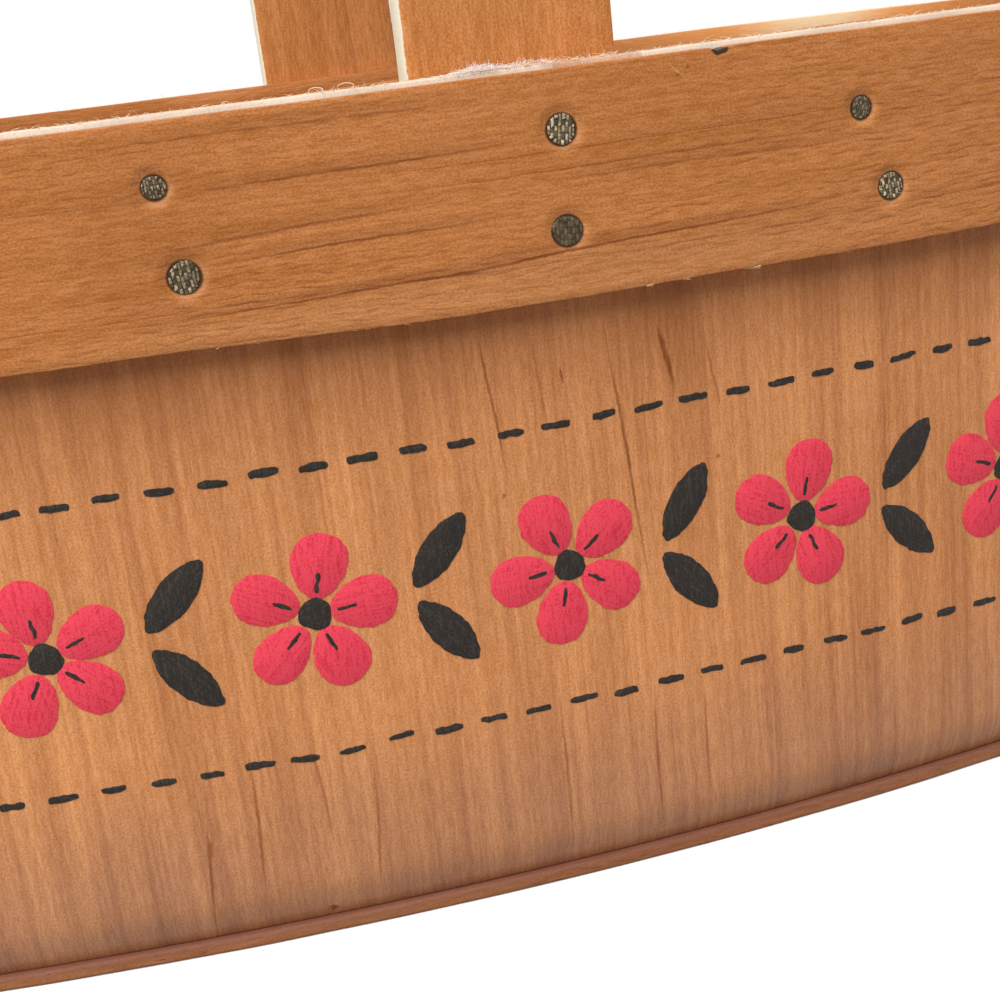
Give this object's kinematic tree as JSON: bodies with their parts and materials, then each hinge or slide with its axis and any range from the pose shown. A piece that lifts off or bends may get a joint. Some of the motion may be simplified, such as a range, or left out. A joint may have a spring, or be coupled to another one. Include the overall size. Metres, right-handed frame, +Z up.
{
  "type": "wooden basket",
  "caption": "Rounded oblong bentwood basket with a nailed double rim and a fixed flat hoop handle, for carrying and storing small things.",
  "frame": {"origin": "on the floor under the middle of the base board", "axes": "+X along the basket, +Y across it from the front to the back, +Z up; the handle hoop stands in the YZ plane"},
  "size_m": [0.3086, 0.1888, 0.2925],
  "materials": {
    "wall_wood": "thin bent sheet, amber stain, upright grain, satin",
    "rim_wood": "strip, amber stain, level grain with dark streaks, satin",
    "handle_wood": "strip, amber stain, grain along the hoop, raw pale edges",
    "base_wood": "board, amber stain, matt",
    "nail_steel": "dark bronze oxide, checkered head"
  },
  "bodies": {
    "root": {"base_board": "base_wood", "wall_sheet": "wall_wood", "outer_rim_band": "rim_wood", "inner_rim_band": "rim_wood", "handle_hoop": "handle_wood", "handle_nail_front_upper": "nail_steel", "handle_nail_front_lower": "nail_steel", "handle_nail_back_upper": "nail_steel", "handle_nail_back_lower": "nail_steel", "rim_nail_01_upper": "nail_steel", "rim_nail_01_lower": "nail_steel", "rim_nail_02_upper": "nail_steel", "rim_nail_02_lower": "nail_steel", "rim_nail_03_upper": "nail_steel", "rim_nail_03_lower": "nail_steel", "rim_nail_04_upper": "nail_steel", "rim_nail_04_lower": "nail_steel", "rim_nail_05_upper": "nail_steel", "rim_nail_05_lower": "nail_steel", "rim_nail_06_upper": "nail_steel", "rim_nail_06_lower": "nail_steel", "rim_nail_08_upper": "nail_steel", "rim_nail_08_lower": "nail_steel", "rim_nail_09_upper": "nail_steel", "rim_nail_09_lower": "nail_steel", "rim_nail_10_upper": "nail_steel", "rim_nail_10_lower": "nail_steel", "rim_nail_11_upper": "nail_steel", "rim_nail_11_lower": "nail_steel", "rim_nail_12_upper": "nail_steel", "rim_nail_12_lower": "nail_steel", "rim_nail_13_upper": "nail_steel", "rim_nail_13_lower": "nail_steel"}
  },
  "joints": []
}
